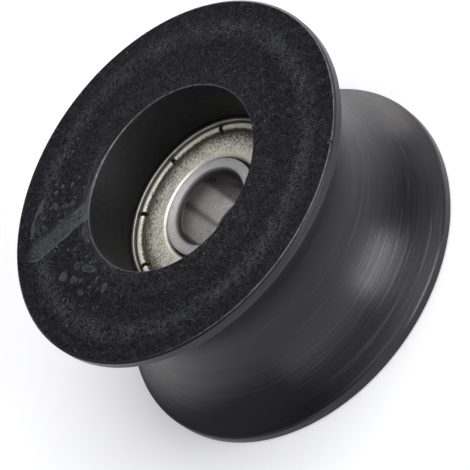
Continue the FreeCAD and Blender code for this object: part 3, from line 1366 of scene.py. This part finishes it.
@dataclass
class BearingRings:
    """Outer and inner ring, each turned from one outline; lengths are in millimetres."""

    sizes: BearingSizes
    outer_corner: float = 0.3
    notch_corner: float = 0.05
    undercut: float = 0.1
    bore_chamfer: Span = (0.56, 0.77)
    chamfer_corners: Span = (0.1, 0.07)
    step_length: float = 1.4
    step_corner: float = 0.2
    shoulder_corner: float = 0.08

    def turned(self, name: str, front: Sequence[Triple], side: float) -> bpy.types.Object:
        """Turns a ring whose outline is the same on both sides of its middle.

        Args:
            name: the piece's name.
            front: radius, height and corner radius from the bore or outside to the raceway.
            side: 1 for the outer ring and -1 for the inner one.

        Returns:
            The turned piece.
        """
        half = np.array(front)
        race = self.sizes.raceway(side)
        mirrored = half[::-1] * np.array([1.0, -1.0, 1.0])
        corners = np.concatenate([half[:, :2], race, mirrored[:, :2]])
        radii = np.concatenate([half[:, 2], np.zeros(len(race)), mirrored[:, 2]])
        outline = counterclockwise(with_holding_points(rounded_outline(corners, radii, 6), 0.04))
        outline[:, 1] += self.sizes.middle
        angles = even_angles(self.sizes.columns)
        return make_piece(name, turned_points(outline, angles), ring_grid(len(outline), len(angles)))

    def build(self, material: bpy.types.Material) -> list[bpy.types.Object]:
        """Makes both rings.

        Args:
            material: the ring finish.

        Returns:
            The outer and the inner ring, in place of the CAD rings.
        """
        s = self.sizes
        floor, step_height = s.half_width - s.notch_depth, s.half_width - self.step_length
        outer_front = [
            (s.outside, s.half_width, self.outer_corner),
            (s.notch_radius, s.half_width, self.notch_corner),
            (s.notch_radius + self.undercut, floor, 0.0),
            (s.shoulder(1), floor, self.shoulder_corner),
        ]
        inner_front = [
            (s.bore, s.half_width - self.bore_chamfer[1], self.chamfer_corners[0]),
            (s.bore + self.bore_chamfer[0], s.half_width, self.chamfer_corners[1]),
            (s.step_radius, s.half_width, self.step_corner),
            (s.step_radius, step_height, 0.0),
            (s.shoulder(-1), step_height, self.shoulder_corner),
        ]
        outer = self.turned("outer_ring", outer_front, 1)
        inner = self.turned("inner_ring", inner_front, -1)
        settle(outer, "pulley", Slot.RINGS, material, "bearing_outer_ring")
        settle(inner, "inner_ring", Slot.RINGS, material, "bearing_inner_ring")
        return [outer, inner]


@dataclass
class Shield:
    """A pressed sheet shield: rolled lip, dished web, channel and a bead parted by slots.

    Lengths are in millimetres and angles in degrees. Crown holds the two places
    of the bead's crest, counted from the bead's foot.
    """

    sizes: BearingSizes
    sheet: float = 0.35
    rim_gap: float = 0.04
    lip_gap: float = 0.32
    lip_depth: float = 0.28
    lip_height: float = 0.65
    lip_round: float = 0.55
    dish: float = 0.24
    dish_round: float = 0.4
    bead_width: float = 1.05
    bead_depth: float = 0.33
    crown: Span = (0.24, 0.76)
    crown_rounds: Span = (0.34, 0.36)
    channel: float = 0.3
    channel_round: float = 0.18
    ramp: float = 0.25
    floor_gap: float = 0.1
    foot_gap: float = 0.02
    slots: int = 9
    slot_width: float = 0.42
    slot_margin: float = 2.0
    columns_between: int = 31

    def sheet_edges(self) -> tuple[np.ndarray, int]:
        """Draws both lines of the sheet's section, from the lip to the foot of the rim.

        The lower point of each pair is the upper one moved by the sheet's thickness
        against the line's normal, so both lines have the same number of points.

        Returns:
            (2, n, 2) lines and the place in them where the slots start.
        """
        s = self.sizes
        lip, rim = s.step_radius + self.lip_gap, s.notch_radius - self.rim_gap
        crest, bead = s.half_width - self.lip_depth, s.half_width - self.bead_depth
        floor, foot = s.half_width - s.notch_depth, rim - self.bead_width
        low = floor + self.floor_gap + self.sheet
        corners = np.array(
            [
                (lip, crest - self.lip_height, 0.0),
                (lip, crest, self.lip_round),
                (foot - self.channel - self.ramp, crest - self.dish, self.dish_round),
                (foot - self.channel, low, self.channel_round),
                (foot, low, self.channel_round),
                (foot + self.crown[0], bead, self.crown_rounds[0]),
                (foot + self.crown[1], bead, self.crown_rounds[1]),
                (rim, low + self.foot_gap, self.crown_rounds[1]),
                (rim, floor, 0.0),
            ]
        )
        line = rounded_outline(corners[:, :2], corners[:, 2], 9)
        line = line[:-1] if np.allclose(line[0], line[-1]) else line
        slope = np.gradient(line, axis=0)
        normal = np.stack([-slope[:, 1], slope[:, 0]], axis=1)
        normal /= np.linalg.norm(normal, axis=1, keepdims=True)
        start = int(np.argmax(line[:, 0] >= foot - self.channel))
        return np.stack([line, line - normal * self.sheet]), start

    def columns(self, radius: np.ndarray) -> np.ndarray:
        """Angles of the grid: each slot has straight, parallel sides.

        The two columns at a slot lie at asin(half its width / radius) from its
        middle, and the others at fixed steps between the slots.

        Args:
            radius: (n,) radius of each line of the grid.

        Returns:
            (n, k) angles in radians; column 0 of each slot is its left side.
        """
        step, margin = 2 * np.pi / self.slots, math.radians(self.slot_margin)
        edge = np.arcsin(self.slot_width / 2 / radius)[:, None, None]
        between = np.linspace(margin, step - margin, self.columns_between)[None, None, :]
        centre = (np.arange(self.slots) * step)[None, :, None]
        spread = np.broadcast_to(between, (len(radius), self.slots, between.shape[-1]))
        sides = np.broadcast_to(edge, (len(radius), self.slots, 1))
        return (np.concatenate([-sides, sides, spread], axis=2) + centre).reshape(len(radius), -1)

    def slotted(self, count: int, width: int, start: int) -> np.ndarray:
        """Numbers the sheet's quads, without those in the slots and with walls round each slot.

        Args:
            count: points of each of the sheet's two lines.
            width: columns round the axis.
            start: the place in the lines where the slots start.

        Returns:
            (n, 4) vertex numbers.
        """
        index = np.arange(2 * count * width).reshape(2 * count, width)
        partner = index[::-1]
        quads = ring_grid(2 * count, width).reshape(2 * count, width, 4)
        left = np.arange(self.slots) * (width // self.slots)
        kept = np.ones((2 * count, width), bool)
        kept[start : 2 * count - 1 - start, left] = False
        near = np.arange(start, count - 1)[:, None]
        faces = [quads[kept]]
        for edge in (left, left + 1):
            wall = [index[near, edge], index[near + 1, edge], partner[near + 1, edge], partner[near, edge]]
            faces.append(np.stack(wall, -1).reshape(-1, 4))
        end = [index[start, left], index[start, left + 1], partner[start, left + 1], partner[start, left]]
        return np.concatenate([*faces, np.stack(end, -1)])

    def build(self, side: Side, material: bpy.types.Material, node: str) -> bpy.types.Object:
        """Makes one shield.

        Args:
            side: which way it faces.
            material: the plated finish.
            node: the CAD shield that it replaces.

        Returns:
            The finished piece.
        """
        (upper, lower), start = self.sheet_edges()
        angles = self.columns(upper[:, 0])
        outline = np.concatenate([upper, lower[::-1]])
        points = turned_points(outline, np.concatenate([angles, angles[::-1]]))
        points[..., 2] = side.value * points[..., 2] + self.sizes.middle
        piece = make_piece(f"{side.name.lower()}_shield_pressing", points, self.slotted(*angles.shape, start))
        point_outwards(piece)
        settle(piece, "pulley", Slot.SHIELDS, material, node)
        return piece


def point_outwards(piece: bpy.types.Object) -> None:
    """Turns all faces of a closed mesh outwards.

    Args:
        piece: the object with the mesh.
    """
    work = bmesh.new()
    work.from_mesh(piece.data)
    bmesh.ops.recalc_face_normals(work, faces=work.faces)
    work.to_mesh(piece.data)
    work.free()


@dataclass
class RollingParts:
    """Balls, cage halves and rivets, which keep the meshes of the CAD model."""

    balls: int = 7
    cage_nodes: tuple[str, ...] = ("cage_front_half", "cage_rear_half", "cage_rivets")

    def dress(self, ball: bpy.types.Material, cage: bpy.types.Material) -> None:
        """Gives each node its finish through its own material slots.

        Args:
            ball: the balls' finish.
            cage: the finish of the cage and its rivets.
        """
        names = {f"ball_{k + 1}": ball for k in range(self.balls)}
        names |= {name: cage for name in self.cage_nodes}
        for name, material in names.items():
            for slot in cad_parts[name].material_slots:
                slot.material = material
        LOG.info("rolling parts: %d nodes dressed", len(names))


# Studio


@dataclass(frozen=True)
class Lamp:
    """A soft rectangular lamp that faces the pulley; angles are in degrees and lengths in metres."""

    name: str
    azimuth: float
    elevation: float
    distance: float
    width: float
    height: float
    radiance: float
    tint: Colour = (1.0, 1.0, 1.0)

    def hang(self) -> None:
        """Hangs the lamp at its azimuth and elevation, turned to the origin.

        Its power is radiance times pi times its area, so a larger lamp is as bright
        to look at as a smaller one.
        """
        data = bpy.data.lights.new(self.name, "AREA")
        data.shape = "RECTANGLE"
        data.size, data.size_y = self.width, self.height
        data.energy = self.radiance * math.pi * self.width * self.height
        data.color = self.tint
        lamp = bpy.data.objects.new(self.name, data)
        turn, rise = math.radians(self.azimuth), math.radians(self.elevation)
        towards = Vector((math.cos(rise) * math.cos(turn), math.cos(rise) * math.sin(turn), math.sin(rise)))
        lamp.location = towards * self.distance
        lamp.rotation_euler = towards.to_track_quat("Z", "Y").to_euler()
        bpy.context.scene.collection.objects.link(lamp)


@dataclass(frozen=True)
class PaleFloor:
    """A plain pale floor that keeps the pulley's shadow and looks white elsewhere.

    Lengths are in millimetres; gap is the room between the pulley and the floor.
    """

    height: float = -12.7
    gap: float = 0.02
    reach: float = 900.0
    colour: Colour = (0.74, 0.74, 0.755)
    lift: float = 0.34

    def lay(self) -> bpy.types.Object:
        """Lays the floor just under the rear face.

        Returns:
            The floor.
        """
        reach, level = self.reach * MM, (self.height - self.gap) * MM
        mesh = bpy.data.meshes.new("pale_floor")
        signs = (-1, -1), (1, -1), (1, 1), (-1, 1)
        corners = [(x * reach, y * reach, level) for x, y in signs]
        mesh.from_pydata(corners, [], [(0, 1, 2, 3)])
        floor = bpy.data.objects.new("pale_floor", mesh)
        bpy.context.scene.collection.objects.link(floor)
        mesh.materials.append(self.material())
        return floor

    def material(self) -> bpy.types.Material:
        """Builds a matt finish with a lift in brightness for camera, mirror and glass rays only.

        Returns:
            The finished material.
        """
        graph = NodeGraph("pale_floor")
        matt = graph.add("ShaderNodeBsdfDiffuse")
        matt.inputs["Color"].default_value = (*self.colour, 1.0)
        path = graph.add("ShaderNodeLightPath")
        seen = graph.math("MAXIMUM", path.outputs["Is Camera Ray"], path.outputs["Is Glossy Ray"])
        seen = graph.math("MAXIMUM", seen, path.outputs["Is Transmission Ray"])
        glow = graph.add("ShaderNodeEmission")
        graph.feed(glow.inputs["Strength"], graph.product(seen, self.lift))
        both = graph.add("ShaderNodeAddShader")
        graph.feed(both.inputs[0], matt.outputs[0])
        graph.feed(both.inputs[1], glow.outputs[0])
        output = graph.add("ShaderNodeOutputMaterial")
        graph.feed(output.inputs["Surface"], both.outputs[0])
        return graph.material


LAMPS = (
    Lamp("side_lamp", azimuth=-59, elevation=8, distance=0.5, width=0.34, height=0.2, radiance=10.5),
    Lamp("front_low_lamp", azimuth=-115, elevation=7, distance=0.6, width=0.75, height=0.22, radiance=2.3),
    Lamp(
        "right_low_lamp", azimuth=56, elevation=5, distance=0.55, width=0.6, height=0.16, radiance=3.6,
        tint=(1.0, 0.97, 0.93),
    ),
    Lamp("front_high_lamp", azimuth=-112, elevation=44, distance=0.7, width=0.5, height=0.4, radiance=0.45),
    Lamp("right_front_lamp", azimuth=-18, elevation=36, distance=0.7, width=0.55, height=0.3, radiance=0.55),
    Lamp("right_lamp", azimuth=32, elevation=30, distance=0.7, width=0.6, height=0.35, radiance=1.5),
    Lamp(
        "left_lamp", azimuth=170, elevation=28, distance=0.7, width=0.85, height=0.35, radiance=0.45,
        tint=(0.93, 0.95, 1.0),
    ),
    Lamp("top_lamp", azimuth=-25, elevation=74, distance=0.8, width=0.75, height=0.75, radiance=2.8),
)


@dataclass
class Studio:
    """Camera at the photograph's angle, lamps, dim surroundings and the floor.

    The camera's place, its lens and its sensor are in millimetres, and what it
    sees at all lies between the clip distances, in metres.
    """

    camera_place: Triple = (0.0, -244.98, 216.32)
    camera_right: Triple = (0.58723354, -0.53702985, -0.6056036)
    camera_up: Triple = (0.80941097, 0.39262974, 0.43668726)
    lens: float = 194.84
    sensor: float = 36.0
    clip: Span = (0.01, 20.0)
    surroundings: Colour = (0.07, 0.07, 0.08)
    lamps: tuple[Lamp, ...] = LAMPS

    def place_camera(self) -> None:
        """Sets the camera by its right and up directions, which give its roll."""
        right, up = Vector(self.camera_right), Vector(self.camera_up)
        data = bpy.data.cameras.new("camera")
        data.lens, data.sensor_width = self.lens, self.sensor
        data.clip_start, data.clip_end = self.clip
        camera = bpy.data.objects.new("camera", data)
        turn = Matrix((right, up, right.cross(up))).transposed()
        camera.matrix_world = Matrix.Translation(Vector(self.camera_place) * MM) @ turn.to_4x4()
        bpy.context.scene.collection.objects.link(camera)
        bpy.context.scene.camera = camera

    def light(self) -> None:
        """Sets plain colour management, the surroundings and the lamps."""
        bpy.context.scene.view_settings.view_transform = "Standard"
        world = bpy.data.worlds.new("surroundings")
        world.use_nodes = True
        world.node_tree.nodes["Background"].inputs["Color"].default_value = (*self.surroundings, 1.0)
        bpy.context.scene.world = world
        for lamp in self.lamps:
            lamp.hang()

    def build(self) -> None:
        """Sets up everything round the pulley."""
        self.place_camera()
        self.light()
        PaleFloor().lay()
        LOG.info("studio: camera, floor and %d lamps", len(self.lamps))


def main() -> None:
    """Builds the studio and every sub-assembly in order."""
    logging.basicConfig(level=logging.INFO, format="%(name)s %(message)s")
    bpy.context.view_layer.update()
    Studio().build()
    Roller().build(BlackNylon().material())
    sizes = BearingSizes()
    BearingRings(sizes).build(GroundSteel().material())
    zinc = ZincPlate().material()
    for side, node in ((Side.FRONT, "front_shield"), (Side.REAR, "rear_shield")):
        Shield(sizes).build(side, zinc, node)
    RollingParts().dress(PolishedBall().material(), PressedSteel().material())


if __name__ == "__main__":
    main()
